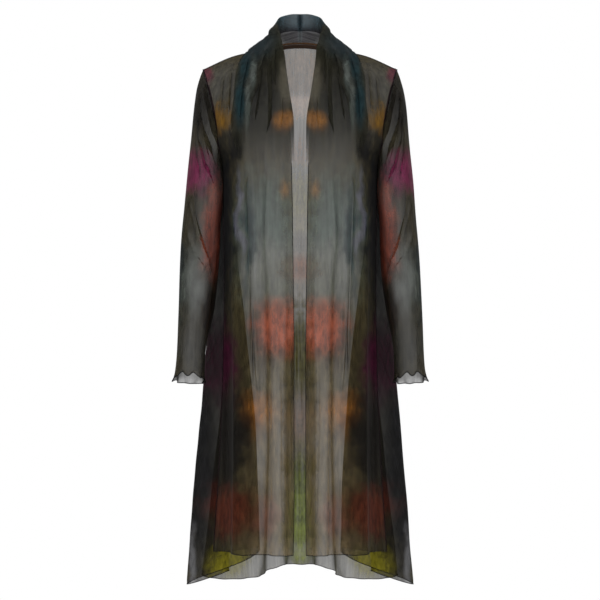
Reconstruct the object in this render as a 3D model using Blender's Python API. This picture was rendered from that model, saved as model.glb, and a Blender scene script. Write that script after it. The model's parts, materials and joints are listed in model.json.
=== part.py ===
# Sheer open-front duster jacket, in its worn, hollow shape.
# Metres. +Z is up, the front faces -Y, the wearer's left is +X.
# The origin is on the centre plane, level with the neck ends of the shoulder seams.

from collections import namedtuple

import bpy
import numpy as np

# Driving dimensions
WALL = 0.0012
ARMPIT_Z = -0.228
HIP_SHARE = 0.34  # the hip's place between the armpit and the hem
FOLD_FULLNESS = 2.1  # how round the flutes turn below the hip
TOP_BLEND = 2.4  # how soon a panel leaves the shape of its shoulder seam
EDGE_REACH = 2.0  # how soon a panel forgets the bow of its armhole or neckline
LAPEL_LIFT = 0.005
CUFF_WAVES = 8
CUFF_WAVE_OUT = 0.0045
CUFF_WAVE_DOWN = 0.0045
CUFF_TILT = 0.009  # the cuff ends higher at the front, lower at the back
CUFF_TILT_ROWS = 3
TAPE_HEIGHT = 0.008
TAPE_DROP = 0.002
TAPE_REACH = 0.86  # share of the back neck seam that the tape covers

# Seam gaps, between the middles of the walls
SEAM_STEP = 0.0014
NECK_STEP = 0.0006
RIDGE_STEP = 0.0010
UNDERARM_STEP = 0.0013
CENTRE_STEP = 0.0003
TAPE_STEP = 0.0018

# Mesh fineness
UPPER_ROWS = 8
LOWER_ROWS = 12
COLUMNS_PER_FOLD = 5
SLEEVE_COLUMNS = 4 * CUFF_WAVES
SLEEVE_ROWS = 16
COLLAR_ROWS = 22
STAND_COLUMNS = 3
FALL_COLUMNS = 12
TAPE_COLUMNS = 11

# Plan of one half of the body: where each fold line runs at the armpit, the hip and the hem
Fold = namedtuple("Fold", "name armpit_x armpit_y hip_x hip_y hem_x hem_y hem_z")

FRONT_FOLDS = [
    Fold("opening", 0.0165, -0.120, 0.0126, -0.128, 0.0124, -0.132, -0.986),
    Fold("crest", 0.052, -0.124, 0.044, -0.133, 0.040, -0.142, -0.986),
    Fold("long_trough", 0.090, -0.112, 0.082, -0.108, 0.074, -0.122, -0.986),
    Fold("side_crest", 0.122, -0.086, 0.122, -0.103, 0.118, -0.130, -0.986),
    Fold("side_trough", 0.142, -0.050, 0.136, -0.062, 0.140, -0.090, -0.985),
    Fold("side_seam", 0.155, -0.004, 0.151, -0.034, 0.172, -0.046, -0.990),
]

BACK_FOLDS = [
    Fold("side_seam", 0.155, -0.004, 0.151, -0.034, 0.172, -0.046, -0.990),
    Fold("first_inner", 0.1535, 0.014, 0.118, -0.002, 0.086, 0.006, -1.000),
    Fold("first_outer", 0.150, 0.032, 0.183, 0.066, 0.227, 0.030, -1.064),
    Fold("second_inner", 0.142, 0.050, 0.130, 0.070, 0.146, 0.068, -1.046),
    Fold("second_outer", 0.128, 0.068, 0.146, 0.100, 0.202, 0.112, -1.062),
    Fold("back_crest", 0.100, 0.085, 0.090, 0.088, 0.106, 0.118, -1.068),
    Fold("back_trough", 0.052, 0.099, 0.048, 0.112, 0.056, 0.176, -1.056),
    Fold("centre_back", 0.0, 0.103, 0.0, 0.098, 0.0, 0.136, -1.042),
]

Place = namedtuple("Place", "x y z")

SHOULDER_TIP = Place(0.194, 0.010, -0.032)
SHOULDER_MID = Place(0.132, 0.004, -0.006)

CENTRE_BACK = [
    Place(0.0, 0.098, -0.060),
    Place(0.0, 0.106, -0.150),
]

FRONT_ARMHOLE = [
    Place(0.180, -0.032, -0.076),
    Place(0.168, -0.055, -0.128),
    Place(0.160, -0.041, -0.190),
]

BACK_ARMHOLE = [
    Place(0.183, 0.046, -0.076),
    Place(0.174, 0.068, -0.130),
    Place(0.164, 0.046, -0.192),
]

# Neck seam, roll line and free edge of one half of the shawl collar, from the centre back to the break
Station = namedtuple(
    "Station",
    "name seam_x seam_y seam_z roll_x roll_y roll_z edge_x edge_y edge_z fold",
)

COLLAR = [
    Station("centre_back", 0.0, 0.080, 0.030, 0.0, 0.077, 0.088, 0.0, 0.096, 0.058, 0.0),
    Station("back", 0.030, 0.072, 0.027, 0.025, 0.070, 0.086, 0.037, 0.092, 0.054, 0.0),
    Station("neck_side", 0.056, 0.044, 0.016, 0.045, 0.046, 0.071, 0.069, 0.072, 0.030, 0.1),
    Station("shoulder", 0.068, 0.002, 0.006, 0.041, 0.000, 0.040, 0.104, 0.002, 0.005, 0.4),
    Station("front_neck", 0.054, -0.050, -0.024, 0.0335, -0.060, -0.002, 0.1185, -0.040, -0.050, 0.8),
    Station("collarbone", 0.037, -0.088, -0.082, 0.0235, -0.100, -0.075, 0.124, -0.080, -0.104, 1.0),
    Station("chest", 0.024, -0.110, -0.140, 0.0140, -0.120, -0.136, 0.128, -0.090, -0.154, 1.0),
    Station("bust", 0.0180, -0.1175, -0.186, 0.0128, -0.126, -0.184, 0.121, -0.100, -0.204, 0.7),
    Station("turn", 0.0170, -0.1190, -0.210, 0.0128, -0.127, -0.208, 0.098, -0.115, -0.242, 0.35),
    Station("break", 0.0166, -0.1200, -0.226, 0.0132, -0.127, -0.226, 0.073, -0.125, -0.253, 0.15),
]

# Long folds across the collar's fall, from the roll line (0) to the free edge (1)
Ridge = namedtuple("Ridge", "share spread height")

LAPEL_RIDGES = [
    Ridge(0.17, 0.07, 0.006),
    Ridge(0.44, 0.08, 0.008),
    Ridge(0.70, 0.07, 0.007),
    Ridge(0.92, 0.06, 0.005),
]

# Sleeve rings by their outermost and innermost points, half depth and middle depth
Ring = namedtuple("Ring", "outer_x outer_z inner_x inner_z half_depth mid_y")

SLEEVE = [
    Ring(0.209, -0.090, 0.1605, -0.245, 0.062, 0.006),
    Ring(0.2195, -0.192, 0.1600, -0.306, 0.056, 0.006),
    Ring(0.2295, -0.294, 0.1595, -0.372, 0.053, 0.003),
    Ring(0.2370, -0.394, 0.1640, -0.448, 0.050, -0.001),
    Ring(0.2405, -0.494, 0.1740, -0.522, 0.047, -0.007),
    Ring(0.2440, -0.574, 0.1860, -0.584, 0.044, -0.013),
    Ring(0.2480, -0.624, 0.1885, -0.628, 0.042, -0.017),
    Ring(0.2515, -0.652, 0.1900, -0.655, 0.043, -0.019),
]

# Sleeve folds: angle from the outside towards the front at both ends, share of length, width, height
Crease = namedtuple("Crease", "angle_top angle_low start stop spread height")

SLEEVE_CREASES = [
    Crease(0.5, 2.3, 0.10, 0.62, 0.22, 0.006),
    Crease(1.2, 2.7, 0.06, 0.40, 0.20, 0.005),
    Crease(1.7, 1.1, 0.45, 0.98, 0.28, 0.005),
    Crease(-0.6, -2.2, 0.12, 0.66, 0.24, 0.006),
    Crease(-1.6, -1.0, 0.50, 0.98, 0.28, 0.005),
]

# Colours as linear red, green, blue and opacity
Cloth = namedtuple("Cloth", "name colour")

CLOTH = {
    "front": Cloth("mesh_front", (0.055, 0.075, 0.080, 0.70)),
    "back": Cloth("mesh_back", (0.060, 0.070, 0.045, 0.70)),
    "sleeve": Cloth("mesh_sleeve", (0.085, 0.055, 0.065, 0.70)),
    "collar": Cloth("mesh_collar", (0.050, 0.075, 0.085, 0.70)),
    "tape": Cloth("neck_tape", (0.045, 0.016, 0.010, 1.0)),
}


def spline(points, places, fullness=1.0):
    """Smooth curve through the points, read at places counted in points. More fullness rounds its turns.

    An end on the centre plane goes on into its mirror image.
    """
    points = np.asarray(points, float)
    before = 2 * points[0] - points[1] if points[0, 0] else mirrored(points[1])
    after = 2 * points[-1] - points[-2] if points[-1, 0] else mirrored(points[-2])
    ends = np.vstack([before, points, after])
    first = np.clip(np.floor(places).astype(int), 0, len(points) - 2)
    t = (np.asarray(places) - first)[:, None]
    a, b, c, d = (ends[first + k] for k in range(4))
    leave = fullness * (c - a) / 2
    arrive = fullness * (d - b) / 2
    over = t * t * (3 - 2 * t)
    return b + (c - b) * over + leave * t * (1 - t) ** 2 - arrive * t * t * (1 - t)


def even(points, shares):
    """Smooth curve through the points, read at shares of its length."""
    fine = spline(points, np.linspace(0, len(points) - 1, 40 * len(points)))
    return np.stack([np.interp(shares, run_of(fine), fine[:, k]) for k in range(3)], 1)


def run_of(line):
    """Share of the length of a line at each of its points."""
    steps = np.linalg.norm(np.diff(line, axis=0), axis=1)
    run = np.concatenate([[0.0], np.cumsum(steps)])
    return run / run[-1]


def bell(distance, spread):
    return np.exp(-0.5 * (distance / spread) ** 2)


def mirrored(points):
    return points * np.array([-1.0, 1.0, 1.0])


def lower_body(folds, columns, rows):
    """Rows of one half of a panel from the armpit to the hem."""
    grid = []
    for t in rows:
        top = (t - HIP_SHARE) * (t - 1) / HIP_SHARE
        hip = t * (t - 1) / (HIP_SHARE * (HIP_SHARE - 1))
        hem = t * (t - HIP_SHARE) / (1 - HIP_SHARE)
        line = [
            (
                top * f.armpit_x + hip * f.hip_x + hem * f.hem_x,
                top * f.armpit_y + hip * f.hip_y + hem * f.hem_y,
                ARMPIT_Z + t * (f.hem_z - ARMPIT_Z),
            )
            for f in folds
        ]
        fullness = 1 + (FOLD_FULLNESS - 1) * min(t / HIP_SHARE, 1)
        grid.append(spline(line, columns, fullness))
    return np.array(grid)


def patch(top, low, first, last, across, down):
    """Rows of a sheet filled in between four edge lines."""
    out = 1 - (1 - down) ** TOP_BLEND
    blend = np.stack([out, out, down], 1)[:, None, :]
    ends = (1 - blend) * top[None] + blend * low[None]
    from_first = ((1 - across) ** EDGE_REACH)[None, :, None]
    from_last = (across**EDGE_REACH)[None, :, None]
    first_bow = first[:, None] - ends[:, :1]
    last_bow = last[:, None] - ends[:, -1:]
    return ends + from_first * first_bow + from_last * last_bow


def seam_line(first, last):
    """Points of the neck seam between two named stations."""
    names = [s.name for s in COLLAR]
    rows = COLLAR[names.index(first) : names.index(last) + 1]
    return [(s.seam_x, s.seam_y, s.seam_z) for s in rows]


def front_half():
    """Rows from the shoulder seam to the hem, columns from the opening to the side seam."""
    spans = len(FRONT_FOLDS) - 1
    columns = np.linspace(0, spans, spans * COLUMNS_PER_FOLD - 3)
    lower = lower_body(FRONT_FOLDS, columns, np.linspace(0, 1, LOWER_ROWS + 1))
    low = lower[0]
    across = run_of(low)
    down = np.linspace(0, 1, UPPER_ROWS + 1)
    neck = seam_line("shoulder", "turn") + [low[0]]
    shoulder = [neck[0], SHOULDER_MID, SHOULDER_TIP]
    armhole = [SHOULDER_TIP, *FRONT_ARMHOLE, low[-1]]
    upper = patch(
        even(shoulder, across), low, even(neck, down), even(armhole, down), across, down
    )
    return np.vstack([upper[:-1], lower])


def back_half():
    """Rows from the shoulder and neck seams to the hem, columns from the side seam to the centre back."""
    spans = len(BACK_FOLDS) - 1
    columns = np.linspace(0, spans, spans * COLUMNS_PER_FOLD - 3)
    lower = lower_body(BACK_FOLDS, columns, np.linspace(0, 1, LOWER_ROWS + 1))
    low = lower[0]
    across = run_of(low)
    down = np.linspace(0, 1, UPPER_ROWS + 1)
    neck = seam_line("centre_back", "shoulder")
    shoulder = even([SHOULDER_TIP, SHOULDER_MID, neck[-1]], np.linspace(0, 1, 30))
    collar_seam = even(neck[::-1], np.linspace(0, 1, 30))
    top = np.vstack([shoulder, collar_seam[1:]])
    top = np.stack([np.interp(across, run_of(top), top[:, k]) for k in range(3)], 1)
    centre = [neck[0], *CENTRE_BACK, low[-1]]
    armhole = [SHOULDER_TIP, *BACK_ARMHOLE, low[0]]
    upper = patch(top, low, even(armhole, down), even(centre, down), across, down)
    return np.vstack([upper[:-1], lower])


def drawn_in(grid, first_row=0.0, first_column=0.0, last_column=0.0):
    """The sheet with some of its edges moved back along it, which leaves the seam gaps."""
    grid = grid.copy()
    along = grid[1] - grid[0]
    grid[0] += along * (first_row / np.linalg.norm(along, axis=1))[:, None]
    for column, away, step in ((0, 1, first_column), (-1, -2, last_column)):
        along = grid[:, away] - grid[:, column]
        length = np.maximum(np.linalg.norm(along, axis=1), 1e-6)
        grid[:, column] += along * np.minimum(step / length, 0.6)[:, None]
    return grid


def facing_out(grid):
    """Outward direction at each point of a panel."""
    down = np.gradient(grid, axis=0)
    across = np.gradient(grid, axis=1)
    out = np.cross(down, across)
    return out / np.maximum(np.linalg.norm(out, axis=2, keepdims=True), 1e-9)


def finer(grid):
    """The grid with points added between its own, along and across."""
    for _ in range(2):
        places = np.linspace(0, len(grid) - 1, 3 * len(grid) - 2)
        low = np.minimum(places.astype(int), len(grid) - 2)
        t = (places - low)[:, None, None]
        grid = (grid[low] * (1 - t) + grid[low + 1] * t).swapaxes(0, 1)
    return grid


def collar_half(panels):
    """Rows from the centre back to the break, columns from the neck seam over the roll to the edge."""
    places = np.linspace(0, len(COLLAR) - 1, COLLAR_ROWS + 1)
    seam = spline([(s.seam_x, s.seam_y, s.seam_z) for s in COLLAR], places)
    roll = spline([(s.roll_x, s.roll_y, s.roll_z) for s in COLLAR], places)
    edge = spline([(s.edge_x, s.edge_y, s.edge_z) for s in COLLAR], places)
    folds = np.interp(places, range(len(COLLAR)), [s.fold for s in COLLAR])
    step = np.interp(places, [2, 3], [NECK_STEP, SEAM_STEP])
    seam = seam + (roll - seam) * (step / np.linalg.norm(roll - seam, axis=1))[:, None]
    stand = np.linspace(0, 1, STAND_COLUMNS + 1)
    fall = np.linspace(0, 1, FALL_COLUMNS + 1)[1:]
    panels = [finer(panel[: UPPER_ROWS + 4]) for panel in panels]
    ground = np.vstack([panel.reshape(-1, 3) for panel in panels])
    out = np.vstack([facing_out(panel).reshape(-1, 3) for panel in panels])
    grid = []
    for n, r, e, fold in zip(seam, roll, edge, folds):
        rising = [n + (r - n) * k for k in stand]
        falling = [r + (e - r) * k for k in fall]
        height = sum(g.height * bell(fall - g.share, g.spread) for g in LAPEL_RIDGES)
        for k, point in enumerate(falling):
            for _ in range(3):
                near = np.argmin(np.linalg.norm(ground - point, axis=1))
                clear = (point - ground[near]) @ out[near]
                point += out[near] * max(LAPEL_LIFT - clear, 0.0)
            point += out[near] * fold * height[k]
        grid.append(rising + falling)
    return np.array(grid)


def sleeve_tube():
    """Rings from the armhole to the cuff."""
    turn = np.linspace(0, 2 * np.pi, SLEEVE_COLUMNS, endpoint=False)
    half = SLEEVE_COLUMNS // 2
    armpit = Place(FRONT_FOLDS[-1].armpit_x, FRONT_FOLDS[-1].armpit_y, ARMPIT_Z)
    shares = np.linspace(0, 1, half + 1)
    front = even([SHOULDER_TIP, *FRONT_ARMHOLE, armpit], shares)
    back = even([SHOULDER_TIP, *BACK_ARMHOLE, armpit], shares)
    armhole = np.vstack([front, back[-2:0:-1]])
    heights = [armpit.z, SHOULDER_TIP.z]
    armhole[:, 0] += np.interp(armhole[:, 2], heights, [UNDERARM_STEP, RIDGE_STEP])
    rings = [armhole]
    for ring in SLEEVE:
        outer = np.array([ring.outer_x, ring.mid_y, ring.outer_z])
        inner = np.array([ring.inner_x, ring.mid_y, ring.inner_z])
        reach = (outer - inner) / 2
        depth = np.array([0.0, -ring.half_depth, 0.0])
        middle = (outer + inner) / 2
        rings.append(middle + np.cos(turn)[:, None] * reach + np.sin(turn)[:, None] * depth)
    rings = np.array(rings)
    places = np.linspace(0, len(SLEEVE), SLEEVE_ROWS + 1)
    tube = np.stack([spline(rings[:, k], places) for k in range(SLEEVE_COLUMNS)], 1)
    middles = tube.mean(axis=1, keepdims=True)
    share = np.linspace(0, 1, SLEEVE_ROWS + 1)
    push = np.zeros((SLEEVE_ROWS + 1, SLEEVE_COLUMNS))
    for c in SLEEVE_CREASES:
        t = (share - c.start) / (c.stop - c.start)
        angle = c.angle_top + t * (c.angle_low - c.angle_top)
        off = (turn[None] - angle[:, None] + np.pi) % (2 * np.pi) - np.pi
        fade = np.where((t > 0) & (t < 1), np.sin(np.pi * np.clip(t, 0, 1)), 0.0)
        push += c.height * bell(off, c.spread) * fade[:, None]
    wave = np.cos(CUFF_WAVES * turn)
    push[-1] += CUFF_WAVE_OUT * wave
    out = tube - middles
    out = out / np.linalg.norm(out, axis=2, keepdims=True)
    tube = tube + out * push[:, :, None]
    tube[-1, :, 2] -= CUFF_WAVE_DOWN * wave
    tilt = np.clip(np.arange(SLEEVE_ROWS + 1) - SLEEVE_ROWS + CUFF_TILT_ROWS, 0, None) / CUFF_TILT_ROWS
    tube[:, :, 2] += CUFF_TILT * tilt[:, None] * np.sin(turn)
    return tube


def neck_tape_strip():
    """The tape inside the back neck, made from the neck seam's points moved inwards and down."""
    shares = np.linspace(0.0, TAPE_REACH, TAPE_COLUMNS + 1)
    neck = even(seam_line("centre_back", "shoulder"), shares)
    inwards = -neck * np.array([1.0, 1.0, 0.0])
    inwards /= np.linalg.norm(inwards, axis=1, keepdims=True)
    top = neck + inwards * TAPE_STEP - np.array([0.0, 0.0, TAPE_DROP])
    low = top - np.array([0.0, 0.0, TAPE_HEIGHT])
    half = np.stack([top, low])
    return np.concatenate([mirrored(half)[:, :0:-1], half], axis=1)


def cloth(kind):
    entry = CLOTH[kind]
    material = bpy.data.materials.get(entry.name) or bpy.data.materials.new(entry.name)
    material.use_nodes = True
    shader = material.node_tree.nodes["Principled BSDF"]
    shader.inputs["Base Color"].default_value = entry.colour
    shader.inputs["Alpha"].default_value = entry.colour[3]
    shader.inputs["Roughness"].default_value = 0.8
    return material


def sheet(name, grid, kind, closed=False):
    """One cloth piece as a thin closed wall about the grid."""
    rows, columns = grid.shape[:2]
    spans = columns if closed else columns - 1
    faces = [
        (
            r * columns + c,
            r * columns + (c + 1) % columns,
            (r + 1) * columns + (c + 1) % columns,
            (r + 1) * columns + c,
        )
        for r in range(rows - 1)
        for c in range(spans)
    ]
    mesh = bpy.data.meshes.new(name)
    mesh.from_pydata(grid.reshape(-1, 3).tolist(), [], faces)
    mesh.update()
    piece = bpy.data.objects.new(name, mesh)
    bpy.context.collection.objects.link(piece)
    piece.data.materials.append(cloth(kind))
    wall = piece.modifiers.new("wall", "SOLIDIFY")
    wall.thickness = WALL
    wall.offset = 0.0
    wall.use_even_offset = True
    wall.use_quality_normals = True
    return piece


for old in list(bpy.data.objects):
    bpy.data.objects.remove(old)

front = front_half()
back = back_half()
tube = sleeve_tube()
collar = collar_half([front, back])

on_shoulder = back[0, :, 0] > seam_line("shoulder", "shoulder")[0][0]
front = drawn_in(front, first_row=RIDGE_STEP, last_column=SEAM_STEP)
back = drawn_in(back, first_row=np.where(on_shoulder, RIDGE_STEP, 0.0), first_column=SEAM_STEP)
collar = drawn_in(collar, first_row=CENTRE_STEP)
whole_back = np.concatenate([back, mirrored(back)[:, -2::-1]], axis=1)

for side, turned in (("left", False), ("right", True)):
    for kind, grid in (("front", front), ("sleeve", tube), ("collar", collar)):
        grid = mirrored(grid) if turned else grid
        sheet(f"{kind}_{side}", grid, kind, closed=kind == "sleeve")
sheet("back", whole_back, "back")
sheet("neck_tape", neck_tape_strip(), "tape")
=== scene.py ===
import json
import math

import bpy
import numpy as np
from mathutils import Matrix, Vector, bvhtree, geometry, kdtree, noise

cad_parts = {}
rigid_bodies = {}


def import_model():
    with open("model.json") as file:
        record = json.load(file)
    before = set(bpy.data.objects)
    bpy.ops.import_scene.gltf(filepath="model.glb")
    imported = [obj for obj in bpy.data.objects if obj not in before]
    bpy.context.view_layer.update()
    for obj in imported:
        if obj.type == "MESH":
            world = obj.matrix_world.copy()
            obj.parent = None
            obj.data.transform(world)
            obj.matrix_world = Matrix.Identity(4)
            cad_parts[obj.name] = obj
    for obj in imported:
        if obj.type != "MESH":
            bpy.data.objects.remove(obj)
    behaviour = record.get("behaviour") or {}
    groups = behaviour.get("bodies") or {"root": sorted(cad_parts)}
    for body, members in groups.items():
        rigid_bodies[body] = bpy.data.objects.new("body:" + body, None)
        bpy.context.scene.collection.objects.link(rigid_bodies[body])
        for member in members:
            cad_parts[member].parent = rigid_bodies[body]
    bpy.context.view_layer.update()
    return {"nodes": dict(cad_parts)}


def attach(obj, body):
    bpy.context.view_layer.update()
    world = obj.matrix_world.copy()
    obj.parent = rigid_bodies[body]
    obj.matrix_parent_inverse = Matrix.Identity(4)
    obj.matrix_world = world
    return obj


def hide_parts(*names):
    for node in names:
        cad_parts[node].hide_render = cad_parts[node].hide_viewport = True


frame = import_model()
nodes = frame["nodes"]
scene = bpy.context.scene
print("frame loaded:", ", ".join(sorted(nodes)))

cameraView = {"away": 3.6, "height": -0.494, "lens": 108, "sensor": 36}  # level, 2 mm to a pixel

bpy.ops.object.select_all(action="DESELECT")
bpy.ops.object.camera_add(
    location=(0, -cameraView["away"], cameraView["height"]),
    rotation=(math.radians(90), 0, 0),
)
camera = bpy.context.object
camera.name = "photoCamera"
camera.data.lens = cameraView["lens"]
camera.data.sensor_width = cameraView["sensor"]
scene.camera = camera
scene.view_settings.view_transform = "Standard"  # paper white stays white behind the sheer cloth
scene.cycles.transparent_max_bounces = 40  # a look through the side folds meets a dozen layers
print("camera set")


def takeUp(piece):
    bpy.ops.object.select_all(action="DESELECT")
    piece.select_set(True)
    bpy.context.view_layer.objects.active = piece


def hexColor(code):
    parts = [int(code[k : k + 2], 16) / 255 for k in (1, 3, 5)]
    linear = [c / 12.92 if c <= 0.04045 else ((c + 0.055) / 1.055) ** 2.4 for c in parts]
    return (*linear, 1.0)


def addNode(tree, kind, settings=None, links=None):
    node = tree.nodes.new(kind)
    for name, value in (settings or {}).items():
        if isinstance(name, str) and hasattr(node, name):
            setattr(node, name, value)
        else:
            node.inputs[name].default_value = value
    for name, source in (links or {}).items():
        tree.links.new(source, node.inputs[name])
    return node


# Sheer nylon mesh, warp knitted and heat printed: each layer lets about a quarter of the light by, so
# stacked layers go dark, the print is soft at its edges, and a slanted look meets more yarn than a
# look straight at it.
sheerMesh = {
    "cover": 0.76,  # share of the light that one layer stops, seen straight on
    "leastSlant": 0.16,  # the yarn lies no flatter to the eye than this
    "netPitch": 0.0030,  # the real net is 0.8 mm, drawn at 3 mm so that it shows
    "netDepth": 0.030,
    "streakWidth": 0.004,  # uneven wales, a few stitches wide
    "streakLength": 0.13,
    "streakDepth": 0.030,
    "warpSize": 0.085,  # how far apart the print's uneven edges lie
    "raggedSize": 0.020,  # dye that ran along the yarn, at the edge of a colour
    "mottleSize": 0.009,  # dye that took unevenly, in upright specks
    "mottleLength": 0.024,
    "dyeThin": 0.45,  # how far those specks thin or deepen a colour
    "dyeFull": 1.45,
    "fullWithin": 0.25,  # a colour is full within this share of its reach
    "noiseLow": 0.3,  # where most of a noise texture's values lie
    "noiseHigh": 0.7,
    "roughness": 0.85,
    "sheen": 0.015,
    "gloss": 0.05,
}


def printedMesh(slot, plan, blooms):
    material = bpy.data.materials.new("sheer printed nylon mesh, " + slot)
    material.use_nodes = True
    tree = material.node_tree
    shader = tree.nodes["Principled BSDF"]
    shader.inputs["Roughness"].default_value = sheerMesh["roughness"]
    shader.inputs["Sheen Weight"].default_value = sheerMesh["sheen"]
    shader.inputs["Specular IOR Level"].default_value = sheerMesh["gloss"]
    place = addNode(tree, "ShaderNodeTexCoord")
    split = addNode(tree, "ShaderNodeSeparateXYZ", links={0: place.outputs["Object"]})
    mirrored = addNode(tree, "ShaderNodeMath", {"operation": "ABSOLUTE"}, {0: split.outputs[0]})
    half = addNode(
        tree,
        "ShaderNodeCombineXYZ",
        links={0: mirrored.outputs[0], 1: split.outputs[1], 2: split.outputs[2]},
    )  # the print is the same on both halves
    wander = addNode(
        tree,
        "ShaderNodeTexNoise",
        {"Scale": 1 / sheerMesh["warpSize"], "Detail": 3.0, "Roughness": 0.6},
        {"Vector": half.outputs[0]},
    )
    centred = addNode(
        tree,
        "ShaderNodeVectorMath",
        {"operation": "SUBTRACT", 1: (0.5, 0.5, 0.5)},
        {0: wander.outputs["Color"]},
    )
    shifted = addNode(
        tree,
        "ShaderNodeVectorMath",
        {"operation": "MULTIPLY_ADD", 1: (plan["warp"],) * 3},
        {0: centred.outputs[0], 2: half.outputs[0]},
    )
    ragged = addNode(
        tree,
        "ShaderNodeTexNoise",
        {"Scale": 1 / sheerMesh["raggedSize"], "Detail": 4.0, "Roughness": 0.6},
        {"Vector": half.outputs[0]},
    )
    run = addNode(
        tree,
        "ShaderNodeMath",
        {"operation": "MULTIPLY_ADD", 1: plan["bleed"], 2: -0.5 * plan["bleed"]},
        {0: ragged.outputs[0]},
    )
    color, cover = None, None
    for centre, reach, tint, strength, hide in blooms:
        off = addNode(
            tree, "ShaderNodeVectorMath", {"operation": "SUBTRACT", 1: centre}, {0: shifted.outputs[0]}
        )
        share = addNode(
            tree, "ShaderNodeVectorMath", {"operation": "DIVIDE", 1: reach}, {0: off.outputs[0]}
        )
        spread = addNode(tree, "ShaderNodeVectorMath", {"operation": "LENGTH"}, {0: share.outputs[0]})
        far = addNode(
            tree, "ShaderNodeMath", {"operation": "ADD"}, {0: spread.outputs["Value"], 1: run.outputs[0]}
        )
        inside = addNode(
            tree,
            "ShaderNodeMapRange",
            {
                "interpolation_type": "SMOOTHSTEP",
                "From Min": sheerMesh["fullWithin"],
                "From Max": 1.0,
                "To Min": strength,
                "To Max": 0.0,
            },
            {"Value": far.outputs[0]},
        )
        blend = addNode(
            tree,
            "ShaderNodeMix",
            {"data_type": "RGBA", 6: hexColor(plan["ground"]), 7: hexColor(tint)},
            {0: inside.outputs[0]} if color is None else {0: inside.outputs[0], 6: color},
        )
        thick = addNode(
            tree,
            "ShaderNodeMix",
            {"data_type": "FLOAT", 2: sheerMesh["cover"], 3: hide},
            {0: inside.outputs[0]} if cover is None else {0: inside.outputs[0], 2: cover},
        )
        color, cover = blend.outputs[2], thick.outputs[0]
    specks = addNode(
        tree,
        "ShaderNodeVectorMath",
        {
            "operation": "DIVIDE",
            1: (sheerMesh["mottleSize"], sheerMesh["mottleSize"], sheerMesh["mottleLength"]),
        },
        {0: half.outputs[0]},
    )
    mottle = addNode(
        tree,
        "ShaderNodeTexNoise",
        {"Scale": 1.0, "Detail": 4.0, "Roughness": 0.65},
        {"Vector": specks.outputs[0]},
    )
    dye = addNode(
        tree,
        "ShaderNodeMapRange",
        {
            "From Min": sheerMesh["noiseLow"],
            "From Max": sheerMesh["noiseHigh"],
            "To Min": sheerMesh["dyeThin"],
            "To Max": sheerMesh["dyeFull"],
        },
        {"Value": mottle.outputs[0]},
    )
    dyed = addNode(
        tree, "ShaderNodeVectorMath", {"operation": "SCALE"}, {0: color, "Scale": dye.outputs[0]}
    )
    tree.links.new(dyed.outputs[0], shader.inputs["Base Color"])
    net = addNode(
        tree,
        "ShaderNodeVectorMath",
        {"operation": "SCALE", "Scale": 2 * math.pi / sheerMesh["netPitch"]},
        {0: place.outputs["UV"]},
    )
    waves = addNode(tree, "ShaderNodeVectorMath", {"operation": "SINE"}, {0: net.outputs[0]})
    wave = addNode(tree, "ShaderNodeSeparateXYZ", links={0: waves.outputs[0]})
    holes = addNode(
        tree, "ShaderNodeMath", {"operation": "MULTIPLY"}, {0: wave.outputs[0], 1: wave.outputs[1]}
    )
    along = addNode(
        tree,
        "ShaderNodeVectorMath",
        {
            "operation": "MULTIPLY",
            1: (1 / sheerMesh["streakWidth"], 1 / sheerMesh["streakLength"], 1.0),
        },
        {0: place.outputs["UV"]},
    )
    streak = addNode(
        tree, "ShaderNodeTexNoise", {"Scale": 1.0, "Detail": 2.0}, {"Vector": along.outputs[0]}
    )
    uneven = addNode(
        tree,
        "ShaderNodeMapRange",
        {
            "From Min": sheerMesh["noiseLow"],
            "From Max": sheerMesh["noiseHigh"],
            "To Min": -sheerMesh["streakDepth"],
            "To Max": sheerMesh["streakDepth"],
        },
        {"Value": streak.outputs[0]},
    )
    knit = addNode(
        tree,
        "ShaderNodeMath",
        {"operation": "MULTIPLY_ADD", 1: sheerMesh["netDepth"]},
        {0: holes.outputs[0], 2: uneven.outputs[0]},
    )
    yarn = addNode(
        tree, "ShaderNodeMath", {"operation": "ADD", "use_clamp": True}, {0: cover, 1: knit.outputs[0]}
    )
    if "ends" in plan:
        lowest, whole = plan["ends"]
        ending = addNode(
            tree,
            "ShaderNodeMapRange",
            {"interpolation_type": "SMOOTHSTEP", "From Min": lowest, "From Max": whole},
            {"Value": split.outputs[2]},
        )
        yarn = addNode(
            tree, "ShaderNodeMath", {"operation": "MULTIPLY"}, {0: yarn.outputs[0], 1: ending.outputs[0]}
        )
    gaps = addNode(tree, "ShaderNodeMath", {"operation": "SUBTRACT", 0: 1.0}, {1: yarn.outputs[0]})
    glance = addNode(tree, "ShaderNodeLayerWeight", {"Blend": 0.5})
    slant = addNode(
        tree,
        "ShaderNodeMapRange",
        {"From Min": 0.0, "From Max": 1.0, "To Min": 1.0, "To Max": sheerMesh["leastSlant"]},
        {"Value": glance.outputs["Facing"]},
    )
    layers = addNode(tree, "ShaderNodeMath", {"operation": "DIVIDE", 0: 1.0}, {1: slant.outputs[0]})
    passed = addNode(
        tree, "ShaderNodeMath", {"operation": "POWER"}, {0: gaps.outputs[0], 1: layers.outputs[0]}
    )
    sight = addNode(tree, "ShaderNodeMath", {"operation": "SUBTRACT", 0: 1.0}, {1: passed.outputs[0]})
    tree.links.new(sight.outputs[0], shader.inputs["Alpha"])
    return material


# Overlocked polyester thread: dull, loosely looped over the net's edge, so some light still comes by.
edgeThread = {"color": "#121315", "stitch": 0.0026, "cover": 0.78, "roughness": 0.8}
# The same thread over a sewn seam, where the dye of both sides gathers to plum.
seamThread = {"color": "#1d0f15", "stitch": 0.0026, "cover": 0.86, "roughness": 0.8}
# Woven cotton tape: flat, matt and close, with a rib across it.
neckTape = {"color": "#46352b", "stitch": 0.0022, "cover": 1.0, "roughness": 0.85}
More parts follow.
